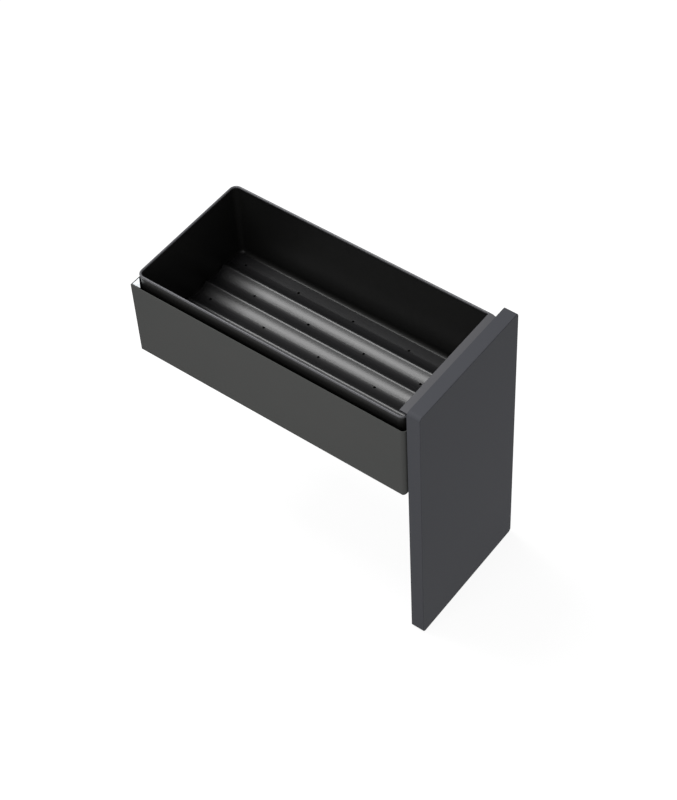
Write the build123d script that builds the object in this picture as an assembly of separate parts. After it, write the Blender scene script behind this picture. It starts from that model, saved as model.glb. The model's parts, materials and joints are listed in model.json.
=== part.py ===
from build123d import *

import math
import os

# Pull-out drawer unit of a built-in waste unit: a tall front panel, a sheet-steel tray, a lift-out
# bin with a drained corrugated floor, and a pair of three-member ball runners on a base frame.
#
# Frame, in millimetres: X is the width, with +X to the user's right when facing the front panel's
# back, Y is the depth with the front panel at -Y, and Z is up. The origin is the centre of the four
# screw holes that hold the base frame, on the plane that the base frame stands on.

# ---- driving dimensions -------------------------------------------------------------------------

PANEL_WIDTH = 290.0
PANEL_HEIGHT = 620.0
PANEL_THICKNESS = 27.0
PANEL_CORNER_RADIUS = 8.0
PANEL_EDGE_RADIUS = 1.5
PANEL_SHEET = 1.2
PANEL_RETURN = 15.0            # width of the skin's return flange round the back

DRAWER_DEPTH = 600.0           # from the panel's back face to the back of the tray
TRAY_WIDTH = 296.0
TRAY_SHEET = 1.5
TRAY_BOTTOM = 2.4              # the skirts hang this far above the base frame's plane
TRAY_TOP = 174.0
TRAY_CORNER_RADIUS = 9.0       # outside of the bends between the sides and the front wall
TRAY_FLOOR_UNDERSIDE = 24.0
GASKET_THICKNESS = 3.0         # gap between the panel's back face and the tray's front wall

BIN_WIDTH = 279.0              # over the rolled rim
BIN_DEPTH = 583.6
BIN_TOP = TRAY_TOP + 24.0
BIN_UNDERSIDE = 27.3
BIN_SHEET = 1.2
BIN_DRAFT = 1.5                # how much each wall leans in from the rim to the bottom
BIN_CORNER_RADIUS = 15.0
BIN_BOTTOM_RADIUS = 9.8        # inside of the bend between the walls and the bottom
RIM_RADIUS = 2.25

TROUGH_COUNT = 5
TROUGH_PITCH = 52.5
TROUGH_RADIUS = 40.0
RIDGE_RADIUS = 6.0
TROUGH_BOTTOM = 33.0           # top surface of the drain floor along the middle of a trough
DRAIN_SHEET = 1.2
DRAIN_HOLE_RADIUS = 2.5
DRAIN_HOLE_PITCH = 125.5
DRAIN_HOLE_SHIFT = 3.0         # the whole hole pattern sits this far behind the middle
DRAIN_HALF_WIDTH = 126.0       # the long edges stay clear of the bin's bottom bend
DRAIN_HALF_DEPTH = 284.5

SCREW_SPACING_X = 233.0
SCREW_SPACING_Y = 480.0
SCREW_HOLE_RADIUS = 2.75

RUNNER_LENGTH = 550.0
RUNNER_FRONT = -280.0
RUNNER_HEIGHT = 19.0
RUNNER_MIDDLE = 13.2           # height of the runners' centre line
RUNNER_SHEET = 1.2
BASE_SHEET = 2.0
CAGE_LENGTH = 200.0
BALLS_IN_ROW = 8
OUTER_BALL_RADIUS = 1.1
INNER_BALL_RADIUS = 1.05

# ---- places that follow from them ---------------------------------------------------------------

PANEL_BACK = -DRAWER_DEPTH / 2
PANEL_FRONT = PANEL_BACK - PANEL_THICKNESS
PANEL_TOP = BIN_TOP + 28.0
PANEL_BOTTOM = PANEL_TOP - PANEL_HEIGHT
PANEL_MIDDLE = (PANEL_TOP + PANEL_BOTTOM) / 2
BACKING_BACK = PANEL_BACK - PANEL_SHEET
BACKING_SHEET = 1.5
BACKING_FRONT = BACKING_BACK - BACKING_SHEET
TRAY_FRONT = PANEL_BACK + GASKET_THICKNESS
TRAY_BACK = DRAWER_DEPTH / 2
TRAY_INNER_FRONT = TRAY_FRONT + TRAY_SHEET
TRAY_INNER_HALF = TRAY_WIDTH / 2 - TRAY_SHEET
TRAY_FLOOR_TOP = TRAY_FLOOR_UNDERSIDE + TRAY_SHEET
BIN_FRONT = -BIN_DEPTH / 2
BIN_OUTER_INSET = RIM_RADIUS - BIN_SHEET / 2  # from the outside of the rim to the outside of the wall
BIN_INNER_INSET = RIM_RADIUS + BIN_SHEET / 2
WALL_TOP = BIN_TOP - 2 * RIM_RADIUS           # the wall ends where the rim bead sits on it
BIN_SEAM = BIN_UNDERSIDE + BIN_SHEET + BIN_BOTTOM_RADIUS + 1.0  # weld between the bottom pan and the walls
GRIP_SHEET = 1.2
GRIP_FLANGE = BIN_FRONT + 2 * RIM_RADIUS + 0.15   # front face of the flange that hangs inside the rim
RUNNER_BACK = RUNNER_FRONT + RUNNER_LENGTH
PANEL_BOLT_PLACES = [(x, z) for x in (-90.0, 90.0) for z in (60.0, 140.0)]
STAY_OFFSET = 60.0
STAY_SCREW_PLACES = [
    (side * STAY_OFFSET + dx, z) for side in (-1, 1) for dx in (-8.0, 8.0) for z in (-45.0, -10.0)
]

os.makedirs("parts", exist_ok=True)


# ---- helpers ------------------------------------------------------------------------------------

def block(x0, x1, y0, y1, z0, z1):
    """A box between two corners, whichever way round they are given."""
    middle = Pos((x0 + x1) / 2, (y0 + y1) / 2, (z0 + z1) / 2)
    return middle * Box(abs(x1 - x0), abs(y1 - y0), abs(z1 - z0))


def rod_x(radius, x0, x1, y, z):
    """A round bar along X."""
    return Pos((x0 + x1) / 2, y, z) * Rot(0, 90, 0) * Cylinder(radius, abs(x1 - x0))


def rod_y(radius, x, y0, y1, z):
    """A round bar along Y."""
    return Pos(x, (y0 + y1) / 2, z) * Rot(90, 0, 0) * Cylinder(radius, abs(y1 - y0))


def rod_z(radius, x, y, z0, z1):
    """A round bar along Z."""
    return Pos(x, y, (z0 + z1) / 2) * Cylinder(radius, abs(z1 - z0))


def rounded_slab(width, depth, radius, z0, z1):
    """A flat slab with round corners, centred on the Z axis."""
    return extrude(Pos(0, 0, z0) * RectangleRounded(width, depth, radius), z1 - z0)


def rounded_door(width, height, radius, y0, y1, middle_z):
    """An upright slab with round corners, facing along Y."""
    face = Pos(0, y1, middle_z) * Rot(90, 0, 0) * RectangleRounded(width, height, radius)
    return extrude(face, y1 - y0)


def save(name, *solids):
    """Writes one node: a single piece, or a group of separate pieces."""
    pieces = [piece for solid in solids for piece in solid.solids()]
    node = pieces[0] if len(pieces) == 1 else Compound(pieces)
    export_step(node, f"parts/{name}.step")


def even(first, last, count):
    """Evenly spaced values from first to last."""
    return [first + (last - first) * index / (count - 1) for index in range(count)]


# ---- front panel --------------------------------------------------------------------------------

def front_skin():
    """Formed steel skin: face, four edges and a return flange round the back."""
    body = rounded_door(
        PANEL_WIDTH, PANEL_HEIGHT, PANEL_CORNER_RADIUS, PANEL_FRONT, PANEL_BACK, PANEL_MIDDLE
    )
    face_edges = body.faces().sort_by(Axis.Y)[0].edges()
    body = fillet(face_edges, PANEL_EDGE_RADIUS)
    hollow = rounded_door(
        PANEL_WIDTH - 2 * PANEL_SHEET,
        PANEL_HEIGHT - 2 * PANEL_SHEET,
        PANEL_CORNER_RADIUS - PANEL_SHEET,
        PANEL_FRONT + PANEL_SHEET,
        BACKING_BACK,
        PANEL_MIDDLE,
    )
    window = rounded_door(
        PANEL_WIDTH - 2 * PANEL_RETURN,
        PANEL_HEIGHT - 2 * PANEL_RETURN,
        PANEL_CORNER_RADIUS,
        BACKING_BACK - 1,
        PANEL_BACK + 1,
        PANEL_MIDDLE,
    )
    return body - hollow - window


def panel_backing():
    """Flat steel plate that closes the panel from inside the return flange."""
    plate = rounded_door(
        PANEL_WIDTH - 2 * PANEL_SHEET,
        PANEL_HEIGHT - 2 * PANEL_SHEET,
        PANEL_CORNER_RADIUS - PANEL_SHEET,
        BACKING_FRONT,
        BACKING_BACK,
        PANEL_MIDDLE,
    )
    for x, z in PANEL_BOLT_PLACES + STAY_SCREW_PLACES:
        plate -= rod_y(2.5, x, BACKING_FRONT - 1, BACKING_BACK + 1, z)
    return plate


def panel_stiffener(x):
    """Upright hat channel between the skin and the backing."""
    web_half, flange, sheet = 16.0, 11.0, 1.0
    face = PANEL_FRONT + PANEL_SHEET
    low, high = PANEL_BOTTOM + 20.0, PANEL_TOP - 20.0
    hat = block(x - web_half, x + web_half, face, face + sheet, low, high)
    for side in (-1, 1):
        edge = x + side * web_half
        hat += block(edge - side * sheet, edge, face, BACKING_FRONT, low, high)
        hat += block(edge, edge + side * flange, BACKING_FRONT - sheet, BACKING_FRONT, low, high)
    return hat


def panel_bolt(x, z):
    """Bolt from inside the tray through the spacer into the panel."""
    shank = rod_y(2.5, x, BACKING_FRONT - 7.0, TRAY_INNER_FRONT, z)
    return shank + rod_y(4.5, x, TRAY_INNER_FRONT, TRAY_INNER_FRONT + 2.8, z)


def panel_spacer(x, z):
    """Steel bush that keeps the tray's front wall off the backing."""
    bush = rod_y(7.0, x, BACKING_BACK, TRAY_FRONT, z)
    return bush - rod_y(2.5, x, BACKING_BACK - 1, TRAY_FRONT + 1, z)


def weld_nut(x, z):
    """Hexagonal nut on the inside of the backing."""
    face = Pos(x, BACKING_FRONT, z) * Rot(90, 0, 0) * RegularPolygon(4.6, 6)
    return extrude(face, 4.0) - rod_y(2.5, x, BACKING_FRONT - 5, BACKING_FRONT + 1, z)


def panel_stay(side):
    """Gusseted angle that carries the tall panel from under the tray's floor."""
    x, half, sheet = side * STAY_OFFSET, 15.0, 2.5
    face = BACKING_BACK + sheet
    seat = TRAY_FLOOR_UNDERSIDE - sheet
    stay = block(x - half, x + half, BACKING_BACK, face, -60.0, TRAY_FLOOR_UNDERSIDE)
    stay += block(x - half, x + half, face, face + 78.0, seat, TRAY_FLOOR_UNDERSIDE)
    web = Plane.YZ * make_face(Polyline((face, -52.0), (face, seat), (face + 30.0, seat), close=True))
    stay += Pos(x - sheet / 2, 0, 0) * extrude(web, sheet)
    for hole_x, z in STAY_SCREW_PLACES:
        stay -= rod_y(2.5, hole_x, BACKING_BACK - 1, face + 0.5, z)
    return stay


def stay_screw(x, z):
    """Pan-head screw that fixes a stay to the backing."""
    face = BACKING_BACK + 2.5
    return rod_y(2.5, x, BACKING_FRONT - 6.0, face, z) + rod_y(4.0, x, face, face + 2.4, z)


def panel_bumper(side):
    """Rubber stop in the panel's lower corner."""
    x, z = side * 122.0, PANEL_BOTTOM + 28.0
    return rod_y(7.0, x, BACKING_BACK, PANEL_BACK + 3.0, z)


def front_gasket():
    """Rubber ring between the panel and the tray's front wall."""
    low, high = TRAY_FLOOR_TOP + 4.0, TRAY_TOP - 3.0
    width, height, band = 272.0, high - low, 9.0
    middle = (low + high) / 2
    ring = rounded_door(width, height, 10.0, PANEL_BACK, TRAY_FRONT, middle)
    hole = rounded_door(
        width - 2 * band, height - 2 * band, 4.0, PANEL_BACK - 1, TRAY_FRONT + 1, middle
    )
    return ring - hole


# ---- tray ---------------------------------------------------------------------------------------

def tray_plan(half_width, front, back, radius):
    """Plan of the tray: round corners at the front, square at the back."""
    plan = Rectangle(2 * half_width, back - front)
    plan = fillet(plan.vertices().group_by(Axis.Y)[0], radius)
    return Pos(0, (front + back) / 2, 0) * plan


def inner_plan(back):
    """Plan of the room inside the tray's wrapper."""
    return tray_plan(TRAY_INNER_HALF, TRAY_INNER_FRONT, back, TRAY_CORNER_RADIUS - TRAY_SHEET)


def tray_wrapper():
    """One bent sheet: left side, front wall and right side, with skirts below the floor."""
    plan = tray_plan(TRAY_WIDTH / 2, TRAY_FRONT, TRAY_BACK, TRAY_CORNER_RADIUS)
    height = TRAY_TOP - TRAY_BOTTOM
    wall = extrude(Pos(0, 0, TRAY_BOTTOM) * (plan - inner_plan(TRAY_BACK + 10)), height)
    # The lower front corner of each skirt is cut round, and the front wall stops at the floor so
    # that the runners and stays pass under it.
    radius = 9.0
    corner = block(-200, 200, TRAY_FRONT - 1, TRAY_FRONT + radius, TRAY_BOTTOM - 1, TRAY_BOTTOM + radius)
    corner -= Pos(0, TRAY_FRONT + radius, TRAY_BOTTOM + radius) * Rot(0, 90, 0) * Cylinder(radius, 402)
    wall -= corner
    wall -= block(-132, 132, TRAY_FRONT - 1, TRAY_INNER_FRONT + 1, 0, TRAY_FLOOR_UNDERSIDE)
    for x, z in PANEL_BOLT_PLACES:
        wall -= rod_y(2.5, x, TRAY_FRONT - 1, TRAY_INNER_FRONT + 1, z)
    for side in (-1, 1):
        for y, z in SIDE_RIVETS + RUNNER_RIVETS:
            wall -= rod_x(2.0, side * (TRAY_INNER_HALF - 1), side * (TRAY_WIDTH / 2 + 1), y, z)
    return wall


FLANGE = 14.0
SIDE_RIVETS = [(TRAY_BACK - 9.0, z) for z in even(50.0, 155.0, 4)]
SIDE_RIVETS += [(y, TRAY_FLOOR_TOP + 6.0) for y in even(-230.0, 230.0, 5)]
RUNNER_RIVETS = [(y, RUNNER_MIDDLE + dz) for y in even(-250.0, 240.0, 5) for dz in (-5.6, 5.6)]


def tray_back():
    """Back wall with a flange against each side."""
    plate = block(
        -TRAY_INNER_HALF, TRAY_INNER_HALF, TRAY_BACK - 2.0, TRAY_BACK, TRAY_FLOOR_TOP, TRAY_TOP
    )
    for side in (-1, 1):
        outer = side * TRAY_INNER_HALF
        inner = side * (TRAY_INNER_HALF - TRAY_SHEET)
        low = TRAY_FLOOR_TOP + 14.0
        plate += block(inner, outer, TRAY_BACK - 2.0 - FLANGE, TRAY_BACK - 2.0, low, TRAY_TOP)
        for y, z in SIDE_RIVETS[:4]:
            plate -= rod_x(2.0, inner - side, outer + side, y, z)
    return plate


def tray_floor():
    """Floor plate with an upturned flange along each side."""
    floor = extrude(Pos(0, 0, TRAY_FLOOR_UNDERSIDE) * inner_plan(TRAY_BACK), TRAY_SHEET)
    for side in (-1, 1):
        outer = side * TRAY_INNER_HALF
        inner = side * (TRAY_INNER_HALF - TRAY_SHEET)
        top = TRAY_FLOOR_TOP + 12.0
        floor += block(inner, outer, -270.0, 270.0, TRAY_FLOOR_TOP, top)
        for y, z in SIDE_RIVETS[4:]:
            floor -= rod_x(2.0, inner - side, outer + side, y, z)
    return floor


def floor_stiffener():
    """Hat channel under the middle of the tray's floor."""
    half, flange, sheet, drop = 18.0, 14.0, 1.2, 11.5
    top = TRAY_FLOOR_UNDERSIDE
    front, back = -215.0, 285.0
    hat = block(-half, half, front, back, top - drop, top - drop + sheet)
    for side in (-1, 1):
        edge = side * half
        hat += block(edge - side * sheet, edge, front, back, top - drop, top)
        hat += block(edge, edge + side * flange, front, back, top - sheet, top)
    return hat


def corner_gusset(side):
    """Triangular plate across a rear top corner of the tray."""
    leg, sheet = 18.0, 1.5
    x = side * (TRAY_INNER_HALF - TRAY_SHEET)
    y = TRAY_BACK - 2.0
    face = make_face(Polyline((x, y), (x - side * leg, y), (x, y - leg), close=True))
    return extrude(Pos(0, 0, TRAY_TOP - sheet) * face, sheet)


def tray_rivets():
    """Flush rivets that hold the back wall and the floor to the sides."""
    inner, outer = TRAY_INNER_HALF - TRAY_SHEET, TRAY_WIDTH / 2
    for side in (-1, 1):
        for y, z in SIDE_RIVETS:
            shank = rod_x(2.0, side * inner, side * outer, y, z)
            yield shank + rod_x(3.4, side * (inner - 1.0), side * inner, y, z)


def bin_locator(side, y):
    """Plastic block that centres the bin between the tray's sides."""
    inner, outer = side * 138.2, side * (TRAY_INNER_HALF - TRAY_SHEET)
    pad = block(inner, outer, y - 15.0, y + 15.0, TRAY_FLOOR_TOP, 60.0)
    lead = pad.edges().filter_by(Axis.Y).group_by(Axis.Z)[-1].sort_by(SortBy.DISTANCE)[0]
    return chamfer(lead, 4.0)


def rest_pad(x, y):
    """Rubber disc that the bin stands on."""
    return rod_z(10.0, x, y, TRAY_FLOOR_TOP, TRAY_FLOOR_TOP + 1.5)


# ---- bin ----------------------------------------------------------------------------------------

def bin_block(inset, low, high):
    """Solid block with the bin's drafted walls, inset from the outside of the rim."""
    mouth = RectangleRounded(
        BIN_WIDTH - 2 * inset, BIN_DEPTH - 2 * inset, BIN_CORNER_RADIUS - inset
    )
    draft = math.degrees(math.atan(BIN_DRAFT / (BIN_TOP - BIN_UNDERSIDE)))
    return extrude(Pos(0, 0, high) * mouth, low - high, taper=draft)


def bin_rim():
    """Round bead that finishes the mouth of the bin, all the way round."""
    width = BIN_WIDTH - 2 * RIM_RADIUS
    depth = BIN_DEPTH - 2 * RIM_RADIUS
    height = BIN_TOP - RIM_RADIUS
    radius = BIN_CORNER_RADIUS - RIM_RADIUS
    path = (Pos(0, 0, height) * RectangleRounded(width, depth, radius)).wire()
    start = path @ 0
    section = Plane(origin=start, z_dir=path % 0) * Circle(RIM_RADIUS)
    return sweep(section, path=path)


GRIP_RIVET_X = even(-105.0, 105.0, 4)
GRIP_RIVET_Z = BIN_TOP - 9.5


def bin_shell():
    """The bin's sheet without its rim: drafted walls that bend into a flat bottom."""
    outside = bin_block(BIN_OUTER_INSET, BIN_UNDERSIDE, WALL_TOP)
    outside = fillet(outside.faces().sort_by(Axis.Z)[0].edges(), BIN_BOTTOM_RADIUS + BIN_SHEET)
    room = bin_block(BIN_INNER_INSET, BIN_UNDERSIDE + BIN_SHEET, WALL_TOP + 1.0)
    room = fillet(room.faces().sort_by(Axis.Z)[0].edges(), BIN_BOTTOM_RADIUS)
    return outside - room


def bin_walls():
    """Wrapper of the bin: four drafted walls with round corners."""
    walls = bin_shell() & block(-200, 200, -400, 400, BIN_SEAM, WALL_TOP + 1.0)
    for x in GRIP_RIVET_X:
        walls -= rod_y(2.0, x, BIN_FRONT, BIN_FRONT + 8.0, GRIP_RIVET_Z)
    return walls


def bin_bottom():
    """Pressed bottom pan with a wide bend all round, butt-welded to the walls."""
    return bin_shell() & block(-200, 200, -400, 400, BIN_UNDERSIDE - 1.0, BIN_SEAM)


def grip_rail():
    """Folded channel over the bin's front rim, hollow and open at both ends."""
    half, sheet = 131.0, GRIP_SHEET
    front, back = PANEL_BACK + 2.5, PANEL_BACK + 24.5
    top, under = BIN_TOP + 7.5, BIN_TOP + 1.4
    rail = block(-half, half, front, back, top - sheet, top)
    rail += block(-half, half, back - sheet, back, under, top)
    rail += block(-half, half, GRIP_FLANGE, back, under, under + sheet)
    tab = half - 14.0
    rail += block(-half, half, GRIP_FLANGE, GRIP_FLANGE + sheet, under, under + sheet)
    rail += block(-tab, tab, GRIP_FLANGE, GRIP_FLANGE + sheet, BIN_TOP - 16.0, under + sheet)
    rail += block(-half, half, front, front + sheet, top - 4.0, top)
    round_edges = rail.edges().filter_by(Axis.X).group_by(Axis.Z)[-1]
    rail = fillet(round_edges, 1.1)
    for x in GRIP_RIVET_X:
        rail -= rod_y(2.0, x, GRIP_FLANGE - 1, GRIP_FLANGE + sheet + 1, GRIP_RIVET_Z)
    return rail


def grip_rivet(x):
    """Rivet that holds the grip rail to the bin's front wall."""
    outside = BIN_FRONT + BIN_OUTER_INSET
    inside = GRIP_FLANGE + GRIP_SHEET
    rivet = rod_y(2.0, x, outside, inside, GRIP_RIVET_Z)
    rivet += rod_y(3.5, x, inside, inside + 1.0, GRIP_RIVET_Z)
    return rivet + rod_y(3.2, x, outside - 1.0, outside, GRIP_RIVET_Z)


# ---- drain floor --------------------------------------------------------------------------------

def trough_places():
    """Middles of the troughs across the width."""
    reach = (TROUGH_COUNT - 1) / 2 * TROUGH_PITCH
    return even(-reach, reach, TROUGH_COUNT)


def corrugation(offset):
    """Lines and arcs of the corrugated section, offset upwards from the top surface.

    Wide round troughs meet narrow round ridges tangentially, so the angle at which they meet
    follows from the pitch and the two radii. Outside the last trough bottoms the sheet is flat.
    """
    trough, ridge = TROUGH_RADIUS - offset, RIDGE_RADIUS + offset
    angle = math.asin(TROUGH_PITCH / 2 / (TROUGH_RADIUS + RIDGE_RADIUS))
    trough_centre = TROUGH_BOTTOM + TROUGH_RADIUS
    ridge_centre = trough_centre - (TROUGH_RADIUS + RIDGE_RADIUS) * math.cos(angle)
    level = TROUGH_BOTTOM + offset

    def in_trough(x, turn):
        return x + trough * math.sin(turn), trough_centre - trough * math.cos(turn)

    def on_ridge(x, turn):
        return x + ridge * math.sin(turn), ridge_centre + ridge * math.cos(turn)

    places = trough_places()
    edges = [Line((-DRAIN_HALF_WIDTH, level), (places[0], level))]
    for x, x_next in zip(places, places[1:]):
        top = (x + x_next) / 2
        points = [in_trough(x, turn) for turn in (0, angle / 2, angle)]
        points += [on_ridge(top, turn) for turn in (-angle / 2, 0, angle / 2)]
        points += [in_trough(x_next, turn) for turn in (-angle, -angle / 2, 0)]
        edges += [ThreePointArc(*points[first:first + 3]) for first in (0, 2, 4, 6)]
    return edges + [Line((places[-1], level), (DRAIN_HALF_WIDTH, level))]


def drain_holes():
    """Staggered drain holes along the bottoms of the troughs."""
    for index, x in enumerate(trough_places()):
        count = 5 if index % 2 == 0 else 4
        reach = (count - 1) / 2 * DRAIN_HOLE_PITCH
        for y in even(DRAIN_HOLE_SHIFT - reach, DRAIN_HOLE_SHIFT + reach, count):
            yield rod_z(DRAIN_HOLE_RADIUS, x, y, TROUGH_BOTTOM - 5, TROUGH_BOTTOM + 5)


def drain_floor():
    """Loose corrugated plate with drain holes, lying over the bin's bottom."""
    upper, lower = corrugation(0.0), corrugation(-DRAIN_SHEET)
    left = Line(lower[0] @ 0, upper[0] @ 0)
    right = Line(upper[-1] @ 1, lower[-1] @ 1)
    section = make_face([*upper, right, *lower, left])
    plate = extrude(Plane.XZ * section, DRAIN_HALF_DEPTH, both=True)
    plate &= rounded_slab(2 * DRAIN_HALF_WIDTH, 2 * DRAIN_HALF_DEPTH, 9.0, 0, 100)
    for hole in drain_holes():
        plate -= hole
    return plate


def drain_foot(x, y):
    """Rubber foot moulded to the underside of a trough, or of the flat beside an outer trough."""
    foot = rod_z(8.0, x, y, BIN_UNDERSIDE + BIN_SHEET + 0.3, TROUGH_BOTTOM + 2.0)
    foot -= rod_y(TROUGH_RADIUS + DRAIN_SHEET, x, y - 20, y + 20, TROUGH_BOTTOM + TROUGH_RADIUS)
    if x:
        flat_level = TROUGH_BOTTOM - DRAIN_SHEET
        foot -= block(x, x + math.copysign(20, x), y - 20, y + 20, flat_level, TROUGH_BOTTOM + 3.0)
    return foot


# ---- runners and base frame ---------------------------------------------------------------------

def bar(side, inset0, inset1, y0, y1, z0, z1):
    """A box placed by its distance inwards from the inside of a skirt."""
    return block(side * (TRAY_INNER_HALF - inset0), side * (TRAY_INNER_HALF - inset1), y0, y1, z0, z1)


def channel(side, web, flanges, half_height, y0, y1):
    """A channel section lying on its side: an upright web and a flange above and below."""
    z = RUNNER_MIDDLE
    shape = bar(side, *web, y0, y1, z - half_height, z + half_height)
    for up in (-1, 1):
        edge = z + up * half_height
        shape += bar(side, *flanges, y0, y1, edge - up * RUNNER_SHEET, edge)
    return shape


# Distances of the runner's walls inwards from the skirt's inner face.
DRAWER_WEB = (0.0, 1.2)
DRAWER_FLANGES = (0.0, 7.5)
DRAWER_HALF_HEIGHT = 2.6
MIDDLE_WEB = (8.9, 9.9)
MIDDLE_FLANGES = (3.0, 9.9)
MIDDLE_HALF_HEIGHT = 6.0
CABINET_WEB = (11.5, 12.7)
CABINET_FLANGES = (2.4, 12.7)
CABINET_HALF_HEIGHT = RUNNER_HEIGHT / 2
UPRIGHT = (12.7, 14.7)
FOOT = (12.7, 44.7)
BASE_FRONT, BASE_BACK = RUNNER_FRONT - 2.0, RUNNER_BACK + 8.0
OUTER_ROW = (CABINET_HALF_HEIGHT - RUNNER_SHEET + MIDDLE_HALF_HEIGHT) / 2
INNER_ROW = (MIDDLE_HALF_HEIGHT - RUNNER_SHEET + DRAWER_HALF_HEIGHT) / 2
BASE_RIVET_Y = even(-250.0, 240.0, 5)
TIE_FRONT_Y, TIE_REAR_Y, TIE_WIDTH = -200.0, 196.0, 40.0


def drawer_rail(side):
    """Inner member of a runner, riveted to the inside of the skirt."""
    rail = channel(side, DRAWER_WEB, DRAWER_FLANGES, DRAWER_HALF_HEIGHT, RUNNER_FRONT, RUNNER_BACK)
    z = RUNNER_MIDDLE
    rail += bar(side, *DRAWER_WEB, RUNNER_FRONT, RUNNER_BACK, z - 8.0, z + 8.0)
    for y, z in RUNNER_RIVETS:
        rail -= rod_x(2.0, side * (TRAY_INNER_HALF - 2), side * (TRAY_INNER_HALF + 1), y, z)
    return rail


def drawer_rail_rivets():
    """Flush rivets that hold the drawer members to the skirts."""
    inner = TRAY_INNER_HALF - DRAWER_WEB[1]
    for side in (-1, 1):
        for y, z in RUNNER_RIVETS:
            shank = rod_x(2.0, side * inner, side * TRAY_WIDTH / 2, y, z)
            yield shank + rod_x(2.3, side * (inner - 0.6), side * inner, y, z)


def middle_rail(side):
    """Middle member of a runner."""
    return channel(
        side, MIDDLE_WEB, MIDDLE_FLANGES, MIDDLE_HALF_HEIGHT, RUNNER_FRONT + 4, RUNNER_BACK - 4
    )


def cabinet_rail(side):
    """Outer member of a runner, riveted to the base rail."""
    rail = channel(
        side, CABINET_WEB, CABINET_FLANGES, CABINET_HALF_HEIGHT, RUNNER_FRONT, RUNNER_BACK
    )
    for y in BASE_RIVET_Y:
        rail -= rod_x(2.0, side * (TRAY_INNER_HALF - 13), side * (TRAY_INNER_HALF - 11), y, RUNNER_MIDDLE)
    return rail


def base_rail(side):
    """Angle that stands on the cabinet floor and carries the cabinet member."""
    rail = bar(side, *UPRIGHT, BASE_FRONT, BASE_BACK, 0.0, RUNNER_MIDDLE + 8.5)
    rail += bar(side, *FOOT, BASE_FRONT, BASE_BACK, 0.0, BASE_SHEET)
    for y in BASE_RIVET_Y:
        rail -= rod_x(2.0, side * (TRAY_INNER_HALF - 15), side * (TRAY_INNER_HALF - 12), y, RUNNER_MIDDLE)
    for y in (-SCREW_SPACING_Y / 2, SCREW_SPACING_Y / 2):
        rail -= rod_z(SCREW_HOLE_RADIUS, side * SCREW_SPACING_X / 2, y, -1, BASE_SHEET + 1)
    for x, y in tie_rivet_places(side):
        rail -= rod_z(2.0, x, y, -1, BASE_SHEET + 1)
    return rail


def tie_rivet_places(side):
    """Where the cross ties are riveted to one base rail."""
    for middle in (TIE_FRONT_Y, TIE_REAR_Y):
        for dy in (-10.0, 10.0):
            yield side * 112.0, middle + dy


def cross_tie(middle):
    """Shallow channel from one base rail to the other."""
    half, sheet, rise = 130.0, 2.0, 7.5
    low = BASE_SHEET
    front, back = middle - TIE_WIDTH / 2, middle + TIE_WIDTH / 2
    tie = block(-half, half, front, back, low, low + sheet)
    for edge in (front, back - sheet):
        tie += block(-half, half, edge, edge + sheet, low, low + rise)
    for side in (-1, 1):
        for x, y in tie_rivet_places(side):
            tie -= rod_z(2.0, x, y, low - 1, low + sheet + 1)
    return tie


def tie_rivet(x, y):
    """Rivet between a cross tie and a base rail, flush underneath."""
    return rod_z(2.0, x, y, 0.0, 4.0) + rod_z(3.6, x, y, 4.0, 5.2)


def base_rivet(side, y):
    """Rivet between the cabinet member and the base rail, flush inside the runner."""
    shank = rod_x(
        2.0,
        side * (TRAY_INNER_HALF - CABINET_WEB[0]),
        side * (TRAY_INNER_HALF - UPRIGHT[1]),
        y,
        RUNNER_MIDDLE,
    )
    head = rod_x(
        3.8,
        side * (TRAY_INNER_HALF - UPRIGHT[1]),
        side * (TRAY_INNER_HALF - UPRIGHT[1] - 1.4),
        y,
        RUNNER_MIDDLE,
    )
    return shank + head


def rear_buffer(side):
    """Rubber buffer behind the middle member, held by the upright of the base rail."""
    return bar(side, 2.4, 12.7, RUNNER_BACK + 0.5, BASE_BACK, RUNNER_MIDDLE - 8.0, RUNNER_MIDDLE + 8.0)


def ball_rows(row_height, inset, front):
    """Ball centres of one cage pair: side, inset, y and z."""
    margin = 9.0
    for side in (-1, 1):
        for up in (-1, 1):
            for y in even(front + margin, front + CAGE_LENGTH - margin, BALLS_IN_ROW):
                yield side * (TRAY_INNER_HALF - inset), y, RUNNER_MIDDLE + up * row_height


def ball_cage(side, row_height, strip, web, inset, front, ball_radius):
    """Plastic cage: an upright web with a perforated strip above and below."""
    half_sheet = 0.4
    back = front + CAGE_LENGTH
    z = RUNNER_MIDDLE
    cage = bar(side, *web, front, back, z - row_height - half_sheet, z + row_height + half_sheet)
    for up in (-1, 1):
        level = z + up * row_height
        cage += bar(side, *strip, front, back, level - half_sheet, level + half_sheet)
    for x, y, level in ball_rows(row_height, inset, front):
        if x * side > 0:
            cage -= rod_z(ball_radius + 0.1, x, y, level - 1, level + 1)
    return cage


# Where each cage lies when the drawer is shut, so that it stays inside both its members.
OUTER_CAGE_FRONT = RUNNER_FRONT + 140.0
INNER_CAGE_FRONT = RUNNER_FRONT + 180.0
OUTER_INSET, INNER_INSET = 6.0, 5.2
OUTER_CAGE = ((3.6, 10.9), (10.3, 10.9))
INNER_CAGE = ((3.3, 8.5), (7.9, 8.5))

# ---- write the nodes ----------------------------------------------------------------------------

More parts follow.
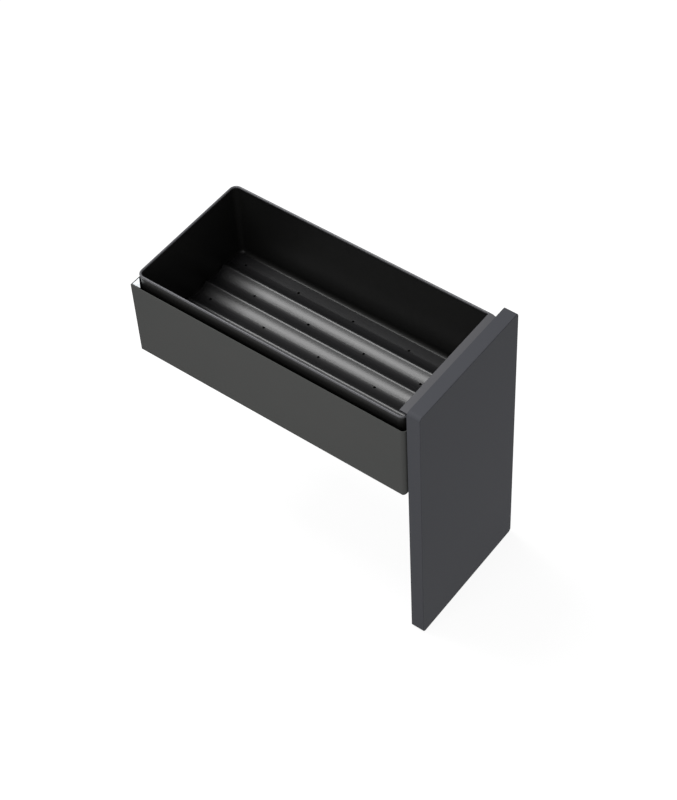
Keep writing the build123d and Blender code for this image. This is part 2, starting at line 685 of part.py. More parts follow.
save("front_skin", front_skin())
save("panel_backing", panel_backing())
save("panel_stiffeners", *[panel_stiffener(x) for x in (-100.0, 0.0, 100.0)])
save("panel_bolts", *[panel_bolt(x, z) for x, z in PANEL_BOLT_PLACES])
save("panel_spacers", *[panel_spacer(x, z) for x, z in PANEL_BOLT_PLACES])
save("panel_nuts", *[weld_nut(x, z) for x, z in PANEL_BOLT_PLACES + STAY_SCREW_PLACES])
save("stay_screws", *[stay_screw(x, z) for x, z in STAY_SCREW_PLACES])
save("panel_bumpers", *[panel_bumper(side) for side in (-1, 1)])
save("front_gasket", front_gasket())
save("tray_wrapper", tray_wrapper())
save("tray_back", tray_back())
save("tray_floor", tray_floor())
save("floor_stiffener", floor_stiffener())
save("corner_gussets", *[corner_gusset(side) for side in (-1, 1)])
save("tray_rivets", *tray_rivets())
save("bin_locators", *[bin_locator(side, y) for side in (-1, 1) for y in (-200.0, 200.0)])
save("rest_pads", *[rest_pad(x, y) for x in (-90.0, 90.0) for y in (-220.0, 220.0)])
save("bin_walls", bin_walls())
save("bin_bottom", bin_bottom())
save("bin_rim", bin_rim())
save("grip_rail", grip_rail())
save("grip_rivets", *[grip_rivet(x) for x in GRIP_RIVET_X])
save("drain_floor", drain_floor())
save("drain_feet", *[drain_foot(x, y) for x in (-105.0, 0.0, 105.0) for y in (-190.0, 190.0)])
save("drawer_rail_rivets", *drawer_rail_rivets())
save("front_tie", cross_tie(TIE_FRONT_Y))
save("rear_tie", cross_tie(TIE_REAR_Y))
save("tie_rivets", *[tie_rivet(x, y) for side in (-1, 1) for x, y in tie_rivet_places(side)])
save("base_rivets", *[base_rivet(side, y) for side in (-1, 1) for y in BASE_RIVET_Y])
save("rear_buffers", *[rear_buffer(side) for side in (-1, 1)])
for side, word in ((-1, "left"), (1, "right")):
    save(f"panel_stay_{word}", panel_stay(side))
    save(f"drawer_rail_{word}", drawer_rail(side))
    save(f"middle_rail_{word}", middle_rail(side))
    save(f"cabinet_rail_{word}", cabinet_rail(side))
    save(f"base_rail_{word}", base_rail(side))
for word, row, inset, front, walls, radius in (
    ("outer", OUTER_ROW, OUTER_INSET, OUTER_CAGE_FRONT, OUTER_CAGE, OUTER_BALL_RADIUS),
    ("inner", INNER_ROW, INNER_INSET, INNER_CAGE_FRONT, INNER_CAGE, INNER_BALL_RADIUS),
):
    cages = [ball_cage(side, row, *walls, inset, front, radius) for side in (-1, 1)]
    save(f"{word}_ball_cages", *cages)
    save(f"{word}_balls", *[Pos(*place) * Sphere(radius) for place in ball_rows(row, inset, front)])
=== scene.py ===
# %% [markdown]
# # A pull-out trash drawer, dressed for the camera
#
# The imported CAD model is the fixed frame: it holds every size, place and moving body. This
# notebook adds the looks around it. Everything is in metres, +Z is up, the front panel faces -Y,
# and the drawer pulls out along -Y. A piece that is made here takes its place from the CAD boxes,
# so that it still fits when the model is packed again.

import json
import math

import bmesh
import bpy
from mathutils import Matrix, Vector


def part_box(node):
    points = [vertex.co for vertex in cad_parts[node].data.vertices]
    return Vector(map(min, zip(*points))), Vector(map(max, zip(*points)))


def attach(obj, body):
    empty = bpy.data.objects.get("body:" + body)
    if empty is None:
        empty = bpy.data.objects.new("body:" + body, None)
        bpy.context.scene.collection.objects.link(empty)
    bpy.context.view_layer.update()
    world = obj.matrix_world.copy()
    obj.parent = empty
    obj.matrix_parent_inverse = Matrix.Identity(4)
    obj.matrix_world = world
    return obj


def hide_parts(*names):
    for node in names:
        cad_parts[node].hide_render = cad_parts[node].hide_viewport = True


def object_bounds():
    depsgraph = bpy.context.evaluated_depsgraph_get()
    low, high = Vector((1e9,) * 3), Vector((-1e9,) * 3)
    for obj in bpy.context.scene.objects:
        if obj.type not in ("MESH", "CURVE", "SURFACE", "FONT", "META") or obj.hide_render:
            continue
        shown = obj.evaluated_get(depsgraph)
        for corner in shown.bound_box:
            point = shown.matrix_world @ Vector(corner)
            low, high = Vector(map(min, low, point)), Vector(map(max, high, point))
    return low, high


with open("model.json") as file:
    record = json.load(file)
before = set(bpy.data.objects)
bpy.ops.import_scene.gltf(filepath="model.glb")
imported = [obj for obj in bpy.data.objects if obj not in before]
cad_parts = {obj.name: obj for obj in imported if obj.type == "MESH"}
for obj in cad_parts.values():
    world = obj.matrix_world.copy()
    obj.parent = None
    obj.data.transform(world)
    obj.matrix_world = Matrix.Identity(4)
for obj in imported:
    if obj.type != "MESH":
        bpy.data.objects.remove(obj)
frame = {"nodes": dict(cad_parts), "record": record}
cad_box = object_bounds()
nodes = frame["nodes"]

# %% [markdown]
# ## Small tools
#
# Three helpers serve the whole file. One turns a paint chart's hex value into the linear colour
# that Blender's shaders expect. One adds a node to any tree, with its settings and its links in
# one call. One starts a material with its Principled shader already wired to the output.

# %% Helpers for colours, nodes and materials
MM = 0.001
MIX_A, MIX_B, MIX_RESULT = 6, 7, 2  # a Mix node's colour sockets
scene = bpy.context.scene


def linear(hex_value):
    """Linear RGBA of an sRGB hex colour such as "44454A"."""
    parts = [int(hex_value[index:index + 2], 16) / 255 for index in (0, 2, 4)]
    return [c / 12.92 if c <= 0.04045 else ((c + 0.055) / 1.055) ** 2.4 for c in parts] + [1.0]


def add(tree, kind, inputs=None, **settings):
    """Adds a node: settings are its properties, inputs its socket values or incoming links."""
    made = tree.nodes.new(kind)
    for key, value in settings.items():
        setattr(made, key, value)
    for key, value in (inputs or {}).items():
        if isinstance(value, bpy.types.NodeSocket):
            tree.links.new(value, made.inputs[key])
        else:
            made.inputs[key].default_value = value
    return made


def start_material(name, **values):
    """A new material, as itself, its node tree and its Principled shader with constant values."""
    material = bpy.data.materials.new(name)
    material.use_nodes = True
    tree = material.node_tree
    tree.nodes.clear()
    shader = add(tree, "ShaderNodeBsdfPrincipled")
    for label, value in values.items():
        shader.inputs[label.replace("_", " ")].default_value = value
    add(tree, "ShaderNodeOutputMaterial", {"Surface": shader.outputs["BSDF"]})
    return material, tree, shader


# %% [markdown]
# ## Camera
#
# The camera looks down on the drawer from its front left corner. A long lens keeps the tall panel
# from flaring. Its turn is built from three angles, the way a tripod head is set: azimuth round
# the object, elevation above the horizon, and a slight roll.

# %% Camera
CAMERA_PLACE = Vector((-1.8377, -1.5661, 2.7699))
AZIMUTH, ELEVATION, ROLL = (math.radians(angle) for angle in (-50.25, 49.81, -3.76))
LENS_MM, SENSOR_MM = 91.19, 36.0
FARTHEST_SEEN = 50.0

towards_camera = Vector((
    math.sin(AZIMUTH) * math.cos(ELEVATION),
    -math.cos(AZIMUTH) * math.cos(ELEVATION),
    math.sin(ELEVATION),
))
level_right = (-towards_camera).cross(Vector((0, 0, 1))).normalized()
level_up = level_right.cross(-towards_camera)
right = level_right * math.cos(ROLL) + level_up * math.sin(ROLL)
up = level_up * math.cos(ROLL) - level_right * math.sin(ROLL)

camera_data = bpy.data.cameras.new("camera")
camera_data.lens = LENS_MM
camera_data.sensor_width = SENSOR_MM
camera_data.clip_end = FARTHEST_SEEN
camera = bpy.data.objects.new("camera", camera_data)
turn = Matrix((right, up, towards_camera)).transposed()
camera.matrix_world = Matrix.Translation(CAMERA_PLACE) @ turn.to_4x4()
scene.collection.objects.link(camera)
scene.camera = camera
print("camera stands", round(CAMERA_PLACE.length, 2), "m from the base screws' middle")

# %% [markdown]
# ## Light and floor
#
# Dark satin paint shows what it reflects, so the room matters as much as the lamps. A white room
# gives each face its even grey. A wide overhead panel draws the bright bands along the troughs,
# and a panel low on the left lifts the near end of the drawer. The floor is mid grey and shines by
# itself, as a lit studio sweep does. Most of its white is its own light, so a shadow takes little
# from it.

# %% World, lamps and floor
BIN_MIDDLE = Vector((0, 0, 0.12))
ROOM_LIGHT = 0.45
FLOOR_GLOW = 0.90

scene.view_settings.view_transform = "Standard"
world = bpy.data.worlds.new("white_room")
scene.world = world
world.use_nodes = True
world.node_tree.nodes.clear()
room = add(
    world.node_tree, "ShaderNodeBackground", {"Color": linear("FFFFFF"), "Strength": ROOM_LIGHT}
)
add(world.node_tree, "ShaderNodeOutputWorld", {"Surface": room.outputs["Background"]})


def soft_panel(name, direction, distance, size, power):
    """A square lamp that faces the middle of the bin."""
    lamp_data = bpy.data.lights.new(name, "AREA")
    lamp_data.shape = "SQUARE"
    lamp_data.size = size
    lamp_data.energy = power
    lamp = bpy.data.objects.new(name, lamp_data)
    away = Vector(direction).normalized()
    lamp_turn = away.to_track_quat("Z", "Y").to_matrix().to_4x4()
    lamp.matrix_world = Matrix.Translation(BIN_MIDDLE + away * distance) @ lamp_turn
    scene.collection.objects.link(lamp)


soft_panel("overhead_panel", (0.0, 0.42, 0.91), distance=2.6, size=1.5, power=84.0)
soft_panel("left_panel", (-0.85, -0.15, 0.50), distance=1.3, size=0.7, power=6.0)

FLOOR_HALF_SIZE = 20.0
FLOOR_GAP = 1 * MM
floor_level = cad_box[0][2] - FLOOR_GAP
bm = bmesh.new()
bmesh.ops.create_grid(bm, x_segments=1, y_segments=1, size=FLOOR_HALF_SIZE)
bmesh.ops.translate(bm, vec=(0, 0, floor_level), verts=bm.verts)
floor_mesh = bpy.data.meshes.new("floor")
bm.to_mesh(floor_mesh)
bm.free()
floor = bpy.data.objects.new("floor", floor_mesh)
scene.collection.objects.link(floor)
studio_white, _, _ = start_material(
    "matt_studio_vinyl",
    Base_Color=linear("6C6C6C"),
    Roughness=0.95,
    Specular_IOR_Level=0.0,
    Emission_Color=linear("FFFFFF"),
    Emission_Strength=FLOOR_GLOW,
)
floor.data.materials.append(studio_white)
print("floor at", round(floor_level, 4), "m")

# %% [markdown]
# ## Powder coat
#
# The panel, the tray, the rim and the grip rail are sheet steel with a satin charcoal powder coat:
# a plastic skin, baked on, that melts into very small bumps called orange peel. The eye reads it
# as a dull, even grey that turns lighter only at bends. Real peel is about 0.5 mm across; it is
# drawn four times coarser so that it shows at all at this distance. A slow drift in tone and gloss
# stands for the uneven build of the powder. The panel's and tray's specular levels are set far
# below a real coat's 0.5: at this slant, upright faces would mirror the bright floor and turn pale.
# The grip rail and the rim's bead take a lighter copy of the same coat. Its lighter tone is painted
# highlight, standing for the light along their tops.

# %% Powder coats
POWDER_DRIFT_MM = 90.0
GLOSS_DRIFT = 0.03


def powder_coat(name, hex_low, hex_high, roughness, specular, peel_mm=2.0, peel_height_mm=0.02):
    """Satin baked coat whose colour and gloss drift slightly, over fine orange peel."""
    material, tree, shader = start_material(name, Specular_IOR_Level=specular, IOR=1.5)
    place = add(tree, "ShaderNodeTexCoord").outputs["Object"]
    drift = add(
        tree,
        "ShaderNodeTexNoise",
        {"Vector": place, "Scale": 1 / (POWDER_DRIFT_MM * MM), "Detail": 3.0},
    )
    tone = add(
        tree,
        "ShaderNodeMix",
        {"Factor": drift.outputs["Fac"], MIX_A: linear(hex_low), MIX_B: linear(hex_high)},
        data_type="RGBA",
    )
    tree.links.new(tone.outputs[MIX_RESULT], shader.inputs["Base Color"])
    gloss = add(
        tree,
        "ShaderNodeMapRange",
        {
            "Value": drift.outputs["Fac"],
            "To Min": roughness - GLOSS_DRIFT,
            "To Max": roughness + GLOSS_DRIFT,
        },
    )
    tree.links.new(gloss.outputs["Result"], shader.inputs["Roughness"])
    peel = add(
        tree, "ShaderNodeTexNoise", {"Vector": place, "Scale": 1 / (peel_mm * MM), "Detail": 2.0}
    )
    bump = add(
        tree,
        "ShaderNodeBump",
        {"Height": peel.outputs["Fac"], "Strength": 0.25, "Distance": peel_height_mm * MM},
    )
    tree.links.new(bump.outputs["Normal"], shader.inputs["Normal"])
    return material


panel_coat = powder_coat("charcoal_powder_coat_panel", "3D3E42", "404145", 0.50, 0.03)
tray_coat = powder_coat("charcoal_powder_coat_tray", "3F403F", "434342", 0.52, 0.03)
# Painted highlight: this copy of the coat is lighter than the panel's and the tray's, for the light
# on the grip's top and on the rim's bead.
grip_rim_coat_painted_highlight = powder_coat("charcoal_coat_grip_rim_painted_highlight", "444447", "48484B", 0.36, 0.30)
print("powder coats:", panel_coat.name, tray_coat.name, grip_rim_coat_painted_highlight.name)

# %% [markdown]
# ## Black enamel
#
# The bin is dipped and fired in black enamel, so that it can be washed. Glass enamel is deep black
# and smoother than powder, with a long, soft waviness where it ran before it set. The same recipe
# gives it, with a darker tone, broader waves and more gloss.

# %% Bin enamel
bin_enamel = powder_coat(
    "fired_black_enamel", "121212", "151514", 0.42, 0.26, peel_mm=5.0, peel_height_mm=0.03
)
print("enamel:", bin_enamel.name)

# %% [markdown]
# ## Satin black drain floor
#
# The drain floor is rolled from sheet into five troughs and enamelled satin black. Rolling leaves
# long, fine drag lines, and the enamel follows them, so its gloss is drawn out along the troughs
# and one overhead lamp makes a long band in each. Real drag lines are about 0.1 mm wide; they are
# drawn 0.8 mm wide to show.

# %% Drain floor enamel
DRAG_WIDTH_MM, DRAG_LENGTH_MM = 0.8, 70.0
drain_enamel, tree, shader = start_material(
    "satin_black_enamel_over_rolled_sheet", IOR=1.5, Specular_IOR_Level=0.5
)
place = add(tree, "ShaderNodeTexCoord").outputs["Object"]
across, along = 1 / (DRAG_WIDTH_MM * MM), 1 / (DRAG_LENGTH_MM * MM)
stretched = add(tree, "ShaderNodeMapping", {"Vector": place, "Scale": (across, along, across)})
drag = add(
    tree, "ShaderNodeTexNoise", {"Vector": stretched.outputs["Vector"], "Scale": 1.0, "Detail": 3.0}
)
tone = add(
    tree,
    "ShaderNodeMix",
    {"Factor": drag.outputs["Fac"], MIX_A: linear("131314"), MIX_B: linear("181819")},
    data_type="RGBA",
)
tree.links.new(tone.outputs[MIX_RESULT], shader.inputs["Base Color"])
gloss = add(
    tree, "ShaderNodeMapRange", {"Value": drag.outputs["Fac"], "To Min": 0.34, "To Max": 0.42}
)
tree.links.new(gloss.outputs["Result"], shader.inputs["Roughness"])
bump = add(
    tree,
    "ShaderNodeBump",
    {"Height": drag.outputs["Fac"], "Strength": 0.15, "Distance": 0.01 * MM},
)
tree.links.new(bump.outputs["Normal"], shader.inputs["Normal"])
print("drag lines", DRAG_WIDTH_MM, "by", DRAG_LENGTH_MM, "mm")

# %% [markdown]
# ## Zinc plate and galvanised sheet
#
# Runners, screws and brackets are zinc-plated: a bright, slightly cloudy metal with a faint blue
# and straw tint from its passivation. Hidden stiffeners are cut from hot-dip galvanised sheet,
# whose zinc froze in crystals about 12 mm across, the spangle. A cell pattern gives those.

# %% Zinc finishes
CLOUD_MM, SPANGLE_MM = 18.0, 12.0
zinc_plate, tree, shader = start_material("blue_passivated_zinc_plate", Metallic=1.0)
place = add(tree, "ShaderNodeTexCoord").outputs["Object"]
cloud = add(
    tree, "ShaderNodeTexNoise", {"Vector": place, "Scale": 1 / (CLOUD_MM * MM), "Detail": 4.0}
)
tint = add(
    tree,
    "ShaderNodeMix",
    {"Factor": cloud.outputs["Fac"], MIX_A: linear("B4B9C2"), MIX_B: linear("CBC9BE")},
    data_type="RGBA",
)
tree.links.new(tint.outputs[MIX_RESULT], shader.inputs["Base Color"])
gloss = add(
    tree, "ShaderNodeMapRange", {"Value": cloud.outputs["Fac"], "To Min": 0.28, "To Max": 0.42}
)
tree.links.new(gloss.outputs["Result"], shader.inputs["Roughness"])

galvanised, tree, shader = start_material("hot_dip_galvanised_sheet", Metallic=1.0)
place = add(tree, "ShaderNodeTexCoord").outputs["Object"]
spangle = add(
    tree, "ShaderNodeTexVoronoi", {"Vector": place, "Scale": 1 / (SPANGLE_MM * MM)}, feature="F1"
)
facet = add(tree, "ShaderNodeSeparateColor", {"Color": spangle.outputs["Color"]})
shade = add(
    tree,
    "ShaderNodeMix",
    {"Factor": facet.outputs["Red"], MIX_A: linear("A1A4A6"), MIX_B: linear("B0B3B5")},
    data_type="RGBA",
)
tree.links.new(shade.outputs[MIX_RESULT], shader.inputs["Base Color"])
gloss = add(
    tree, "ShaderNodeMapRange", {"Value": facet.outputs["Green"], "To Min": 0.38, "To Max": 0.52}
)
tree.links.new(gloss.outputs["Result"], shader.inputs["Roughness"])
print("spangle", SPANGLE_MM, "mm")

# %% [markdown]
# ## Ball steel, rubber and plastics
#
# The balls are hardened chrome steel, ground and lapped, so they are almost mirrors. The gasket,
# feet and bumpers are moulded EPDM rubber, which is matt with a faint pale bloom. The ball cages
# are acetal and the bin's guide blocks nylon: both are moulded in a fine spark-eroded texture,
# which the eye sees as a soft, even sheen.

# %% Ball steel, rubber and plastics
HAZE_PER_METRE = 900.0
ball_steel, tree, shader = start_material(
    "lapped_chrome_steel", Metallic=1.0, Base_Color=linear("DADADC")
)
place = add(tree, "ShaderNodeTexCoord").outputs["Object"]
haze = add(tree, "ShaderNodeTexNoise", {"Vector": place, "Scale": HAZE_PER_METRE, "Detail": 2.0})
gloss = add(
    tree, "ShaderNodeMapRange", {"Value": haze.outputs["Fac"], "To Min": 0.06, "To Max": 0.14}
)
tree.links.new(gloss.outputs["Result"], shader.inputs["Roughness"])


def moulded(name, hex_low, hex_high, roughness, grain_mm, grain_height_mm):
    """Moulded rubber or plastic: a speckled tone over a fine mould texture."""
    material, tree, shader = start_material(name, Roughness=roughness, IOR=1.48)
    place = add(tree, "ShaderNodeTexCoord").outputs["Object"]
    grain = add(
        tree, "ShaderNodeTexNoise", {"Vector": place, "Scale": 1 / (grain_mm * MM), "Detail": 3.0}
    )
    tone = add(
        tree,
        "ShaderNodeMix",
        {"Factor": grain.outputs["Fac"], MIX_A: linear(hex_low), MIX_B: linear(hex_high)},
        data_type="RGBA",
    )
    tree.links.new(tone.outputs[MIX_RESULT], shader.inputs["Base Color"])
    bump = add(
        tree,
        "ShaderNodeBump",
        {"Height": grain.outputs["Fac"], "Strength": 0.4, "Distance": grain_height_mm * MM},
    )
    tree.links.new(bump.outputs["Normal"], shader.inputs["Normal"])
    return material


epdm = moulded("moulded_epdm_rubber", "141414", "202020", 0.80, 1.2, 0.03)
acetal = moulded("moulded_grey_acetal", "6A6A6D", "747477", 0.45, 0.8, 0.01)
nylon = moulded("moulded_black_nylon", "2A2A2B", "343436", 0.50, 0.8, 0.01)
print("moulded:", epdm.name, acetal.name, nylon.name)

# %% [markdown]
# ## Dress every CAD piece
#
# Each CAD piece names a slot in the record, and each slot has one finish. A CAD mesh's shape is
# never touched: only the material in its slot changes.

# %% Give each CAD piece its finish
SLOT_FINISH = {
    "panel_paint": panel_coat,
    "tray_paint": tray_coat,
    # The grip's coat is the lighter copy, whose lighter tone is painted highlight.
    "grip_paint": grip_rim_coat_painted_highlight,
    "bin_enamel": bin_enamel,
    "drain_enamel": drain_enamel,
    "zinc_steel": zinc_plate,
    "inner_steel": galvanised,
    "bearing_steel": ball_steel,
    "black_rubber": epdm,
    "grey_acetal": acetal,
    "black_nylon": nylon,
}
node_slot = {row["node"]: row["material_slot"] for row in frame["record"]["subparts"]}
for name, slot_name in node_slot.items():
    mesh = nodes[name].data
    mesh.materials.clear()
    mesh.materials.append(SLOT_FINISH[slot_name])
body_of_node = {
    name: body
    for body, names in frame["record"]["behaviour"]["bodies"].items()
    for name in names
}
print("dressed", len(node_slot), "CAD pieces in", len(SLOT_FINISH), "finishes")

# %% [markdown]
# ## Growing pieces with Geometry Nodes
#
# Screws, rivets, balls and beads are one small shape repeated, or a section that follows a path.
# Geometry Nodes suit both: the tree states the rule, and named inputs hold the sizes. Two helpers
# open and close a tree, and a third runs it on a mesh of points and keeps the result as a plain
# mesh, because an export drops live instances.

# %% Helpers for geometry trees


def open_tree(name, sizes):
    """A geometry tree with one named input per size, and its group input node."""
    tree = bpy.data.node_groups.new(name, "GeometryNodeTree")
    tree.interface.new_socket("Geometry", in_out="INPUT", socket_type="NodeSocketGeometry")
    for label in sizes:
        tree.interface.new_socket(label, in_out="INPUT", socket_type="NodeSocketFloat")
    tree.interface.new_socket("Geometry", in_out="OUTPUT", socket_type="NodeSocketGeometry")
    return tree, add(tree, "NodeGroupInput")


def close_tree(tree, geometry, material):
    """Ends a tree in real, painted geometry."""
    real = add(tree, "GeometryNodeRealizeInstances", {"Geometry": geometry})
    painted = add(
        tree, "GeometryNodeSetMaterial", {"Geometry": real.outputs[0], "Material": material}
    )
    add(tree, "NodeGroupOutput", {"Geometry": painted.outputs[0]})


def grow(name, tree, points, sizes, node):
    """Runs a tree on points, and keeps the result as a plain mesh that replaces a CAD node."""
    base = bpy.data.meshes.new(name + "_points")
    base.from_pydata(points, [], [])
    piece = bpy.data.objects.new(name, base)
    scene.collection.objects.link(piece)
    modifier = piece.modifiers.new("grow", "NODES")
    modifier.node_group = tree
    sockets = {item.name: item.identifier for item in tree.interface.items_tree}
    for label, value in sizes.items():
        modifier[sockets[label]] = value
    bpy.context.view_layer.update()
    ready = piece.evaluated_get(bpy.context.evaluated_depsgraph_get())
    mesh = bpy.data.meshes.new_from_object(ready)
    piece.modifiers.remove(modifier)
    piece.data = mesh
    mesh.name = name
    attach(piece, body_of_node[node])
    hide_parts(node)
    low = [min(v.co[axis] for v in mesh.vertices) for axis in range(3)]
    high = [max(v.co[axis] for v in mesh.vertices) for axis in range(3)]
    cad_low, cad_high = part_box(node)
    off = max(
        [abs(a - b) for a, b in zip(low, cad_low)] + [abs(a - b) for a, b in zip(high, cad_high)]
    )
    print(name, len(mesh.polygons), "faces, off its CAD box by", round(off / MM, 2), "mm at most")
    return piece


# %% [markdown]
# ## Rolled rim
#
# The bin's mouth is finished with a rolled bead: the sheet's edge is curled round a wire until it
# closes on itself, which leaves a fine groove along the curl. A section swept along the mouth
# makes it: a rounded rectangle is the path, and a circle with one nick in it is the section. The
# nick faces down and out, where a roller closes the curl.

# %% Rolled rim
RIM_CORNER = 15.0 * MM
RIM_SECTION_POINTS, RIM_CORNER_POINTS = 28, 10
NICK_DEPTH = 0.22
NICK_REACH = 0.985  # share of the bead radius, along the nick's direction, where it starts
NICK_DIRECTION = (0.80, 0.60, 0.0)

rim_low, rim_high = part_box("bin_rim")
bead_radius = (rim_high.z - rim_low.z) / 2
rim_sizes = {
    "Width": rim_high.x - rim_low.x - 2 * bead_radius,
    "Depth": rim_high.y - rim_low.y - 2 * bead_radius,
    "Height": (rim_high.z + rim_low.z) / 2,
    "Corner radius": RIM_CORNER - bead_radius,
    "Bead radius": bead_radius,
}
tree, sizes = open_tree("rolled_rim", rim_sizes)
mouth = add(
    tree,
    "GeometryNodeCurvePrimitiveQuadrilateral",
    {"Width": sizes.outputs["Width"], "Height": sizes.outputs["Depth"]},
)
rounded = add(
    tree,
    "GeometryNodeFilletCurve",
    {"Curve": mouth.outputs[0], "Radius": sizes.outputs["Corner radius"]},
    mode="POLY",
)
rounded.inputs["Count"].default_value = RIM_CORNER_POINTS
lift = add(tree, "ShaderNodeCombineXYZ", {"Z": sizes.outputs["Height"]})
path = add(
    tree,
    "GeometryNodeTransform",
    {"Geometry": rounded.outputs[0], "Translation": lift.outputs[0]},
)
section = add(
    tree,
    "GeometryNodeCurvePrimitiveCircle",
    {"Radius": sizes.outputs["Bead radius"]},
)
section.inputs["Resolution"].default_value = RIM_SECTION_POINTS
spot = add(tree, "GeometryNodeInputPosition").outputs[0]
facing = add(
    tree, "ShaderNodeVectorMath", {0: spot, 1: NICK_DIRECTION}, operation="DOT_PRODUCT"
).outputs["Value"]
share = add(
    tree, "ShaderNodeMath", {0: facing, 1: sizes.outputs["Bead radius"]}, operation="DIVIDE"
)
in_nick = add(
    tree, "ShaderNodeMath", {0: share.outputs[0], 1: NICK_REACH}, operation="GREATER_THAN"
)
inwards = add(tree, "ShaderNodeVectorMath", {0: spot, "Scale": -NICK_DEPTH}, operation="SCALE")
nicked = add(
    tree,
    "GeometryNodeSetPosition",
    {
        "Geometry": section.outputs[0],
        "Selection": in_nick.outputs[0],
        "Offset": inwards.outputs["Vector"],
    },
)
bead = add(
    tree, "GeometryNodeCurveToMesh", {"Curve": path.outputs[0], "Profile Curve": nicked.outputs[0]}
)
smooth = add(tree, "GeometryNodeSetShadeSmooth", {"Geometry": bead.outputs[0]})
# The bead takes the grip's lighter coat, whose lighter tone is painted highlight along the bead.
close_tree(tree, smooth.outputs[0], grip_rim_coat_painted_highlight)
grow("rolled_rim", tree, [(0, 0, 0)], rim_sizes, "bin_rim")

# %% [markdown]
# ## Bearing balls
#
# Each runner carries rows of small balls, held apart by a cage. They are the plainest repeat there
# is: one ball on each point of a row. The rows' ends come from the CAD box, and an icosphere with
# eighty faces is round enough for a 2 mm ball.

# %% Bearing balls
BALLS_IN_ROW = 8
BALL_SUBDIVISIONS = 2
BALL_RADII = {"outer_balls": 1.1 * MM, "inner_balls": 1.05 * MM}


def ball_places(node, radius):
    """Middles of the balls: two sides, two rows and eight balls in each."""
    low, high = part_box(node)
    pitch = (high.y - low.y - 2 * radius) / (BALLS_IN_ROW - 1)
    return [
        (x, low.y + radius + pitch * index, z)
        for x in (low.x + radius, high.x - radius)
        for z in (low.z + radius, high.z - radius)
        for index in range(BALLS_IN_ROW)
    ]


tree, sizes = open_tree("balls_in_rows", ["Ball radius"])
ball = add(tree, "GeometryNodeMeshIcoSphere", {"Radius": sizes.outputs["Ball radius"]})
ball.inputs["Subdivisions"].default_value = BALL_SUBDIVISIONS
smooth = add(tree, "GeometryNodeSetShadeSmooth", {"Geometry": ball.outputs[0]})
rows = add(
    tree,
    "GeometryNodeInstanceOnPoints",
    {"Points": sizes.outputs["Geometry"], "Instance": smooth.outputs[0]},
)
close_tree(tree, rows.outputs[0], ball_steel)
for node, radius in BALL_RADII.items():
    grow(f"{node}_lapped", tree, ball_places(node, radius), {"Ball radius": radius}, node)

# %% [markdown]
# ## Screws and rivets
#
# A pan-head screw has a low domed head with a cross recess, and a rivet has the same dome without
# it. A sphere whose lower half is pressed flat is a closed dome in one step. Its upper half is
# squared off a little, as a heading die leaves it, and the recess is cut by two crossed blades.

# %% A tree for domed heads
HEAD_SEGMENTS, HEAD_RINGS = 24, 12
DOME_SQUARENESS = 0.55
RECESS_SHARE, BLADE_SHARE, RECESS_DEPTH_SHARE = 1.1, 0.22, 0.62
HEAD_SIZES = ["Head radius", "Head height", "Shank radius", "Shank length"]


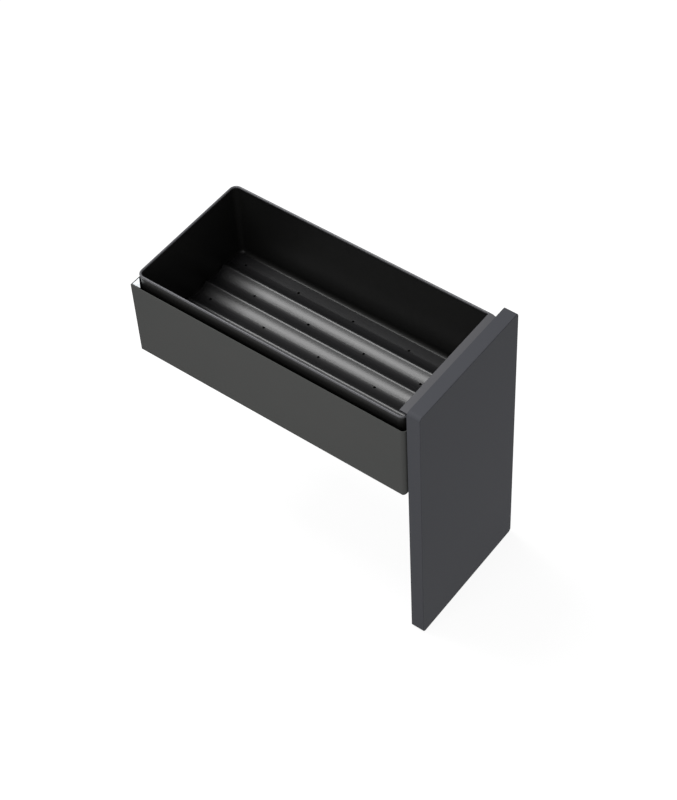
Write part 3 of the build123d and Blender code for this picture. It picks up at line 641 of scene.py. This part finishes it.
def head_tree(name, turn, material, recess):
    """A domed head and its shank on each point. The head faces the way that the turn gives."""
    tree, sizes = open_tree(name, HEAD_SIZES)
    size = {label: sizes.outputs[label] for label in HEAD_SIZES}
    sphere = add(tree, "GeometryNodeMeshUVSphere", {"Radius": 1.0})
    sphere.inputs["Segments"].default_value = HEAD_SEGMENTS
    sphere.inputs["Rings"].default_value = HEAD_RINGS
    spot = add(
        tree, "ShaderNodeSeparateXYZ", {0: add(tree, "GeometryNodeInputPosition").outputs[0]}
    )
    above = add(tree, "ShaderNodeMath", {0: spot.outputs["Z"], 1: 0.0}, operation="MAXIMUM")
    dome = add(
        tree, "ShaderNodeMath", {0: above.outputs[0], 1: DOME_SQUARENESS}, operation="POWER"
    )
    x, y, z = (
        add(tree, "ShaderNodeMath", {0: part, 1: size[label]}, operation="MULTIPLY").outputs[0]
        for part, label in (
            (spot.outputs["X"], "Head radius"),
            (spot.outputs["Y"], "Head radius"),
            (dome.outputs[0], "Head height"),
        )
    )
    placed = add(tree, "ShaderNodeCombineXYZ", {"X": x, "Y": y, "Z": z})
    head = add(
        tree,
        "GeometryNodeSetPosition",
        {"Geometry": sphere.outputs[0], "Position": placed.outputs[0]},
    ).outputs[0]
    if recess:
        long, thick, deep = (
            add(tree, "ShaderNodeMath", {0: size[label], 1: share}, operation="MULTIPLY").outputs[0]
            for label, share in (
                ("Head radius", RECESS_SHARE),
                ("Head radius", BLADE_SHARE),
                ("Head height", 2 * RECESS_DEPTH_SHARE),
            )
        )
        top = add(tree, "ShaderNodeCombineXYZ", {"Z": size["Head height"]})
        for blade_size in ({"X": long, "Y": thick, "Z": deep}, {"X": thick, "Y": long, "Z": deep}):
            shape = add(tree, "ShaderNodeCombineXYZ", blade_size)
            cube = add(tree, "GeometryNodeMeshCube", {"Size": shape.outputs[0]})
            blade = add(
                tree,
                "GeometryNodeTransform",
                {"Geometry": cube.outputs[0], "Translation": top.outputs[0]},
            )
            head = add(
                tree,
                "GeometryNodeMeshBoolean",
                {"Mesh 1": head, "Mesh 2": blade.outputs[0]},
                operation="DIFFERENCE",
                solver="EXACT",
            ).outputs[0]
    shank = add(
        tree,
        "GeometryNodeMeshCylinder",
        {"Radius": size["Shank radius"], "Depth": size["Shank length"]},
    )
    shank.inputs["Vertices"].default_value = HEAD_SEGMENTS
    half = add(
        tree, "ShaderNodeMath", {0: size["Shank length"], 1: -0.5}, operation="MULTIPLY"
    )
    below = add(tree, "ShaderNodeCombineXYZ", {"Z": half.outputs[0]})
    hung = add(
        tree,
        "GeometryNodeTransform",
        {"Geometry": shank.outputs[0], "Translation": below.outputs[0]},
    )
    whole = add(tree, "GeometryNodeJoinGeometry")
    tree.links.new(hung.outputs[0], whole.inputs[0])
    tree.links.new(head, whole.inputs[0])
    placed_heads = add(
        tree,
        "GeometryNodeInstanceOnPoints",
        {"Points": sizes.outputs["Geometry"], "Instance": whole.outputs[0]},
    )
    placed_heads.inputs["Rotation"].default_value = turn
    close_tree(tree, placed_heads.outputs[0], material)
    return tree


# %% [markdown]
# The stay screws hold the gusseted stays to the panel's backing, so their heads face the back. The
# tie rivets join the base frame, with their heads up.

# %% Screws and rivets in place
FACE_BACK = (math.radians(-90), 0.0, 0.0)
FACE_UP = (0.0, 0.0, 0.0)
STAY_SCREW_SPACING = 16.0 * MM
TIE_RIVET_SPACING = 20.0 * MM
SCREW_HEAD_HEIGHT = 2.4 * MM
RIVET_HEAD_HEIGHT = 1.2 * MM

low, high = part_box("stay_screws")
stay_sizes = {
    "Head radius": 4.0 * MM,
    "Head height": SCREW_HEAD_HEIGHT,
    "Shank radius": 2.5 * MM,
    "Shank length": high.y - low.y - SCREW_HEAD_HEIGHT,
}
head_radius, seat = stay_sizes["Head radius"], high.y - stay_sizes["Head height"]
outer_x = high.x - head_radius
places = [
    (side * x, seat, z)
    for side in (-1, 1)
    for x in (outer_x, outer_x - STAY_SCREW_SPACING)
    for z in (low.z + head_radius, high.z - head_radius)
]
tree = head_tree("pan_head_screw", FACE_BACK, zinc_plate, recess=True)
grow("stay_screws_cross_recess", tree, places, stay_sizes, "stay_screws")

low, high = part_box("tie_rivets")
rivet_sizes = {
    "Head radius": 3.6 * MM,
    "Head height": RIVET_HEAD_HEIGHT,
    "Shank radius": 2.0 * MM,
    "Shank length": high.z - low.z - RIVET_HEAD_HEIGHT,
}
head_radius, seat = rivet_sizes["Head radius"], high.z - rivet_sizes["Head height"]
near, far = low.y + head_radius, high.y - head_radius
places = [
    (x, y, seat)
    for x in (low.x + head_radius, high.x - head_radius)
    for y in (near, near + TIE_RIVET_SPACING, far - TIE_RIVET_SPACING, far)
]
tree = head_tree("domed_rivet", FACE_UP, zinc_plate, recess=False)
grow("tie_rivets_domed", tree, places, rivet_sizes, "tie_rivets")
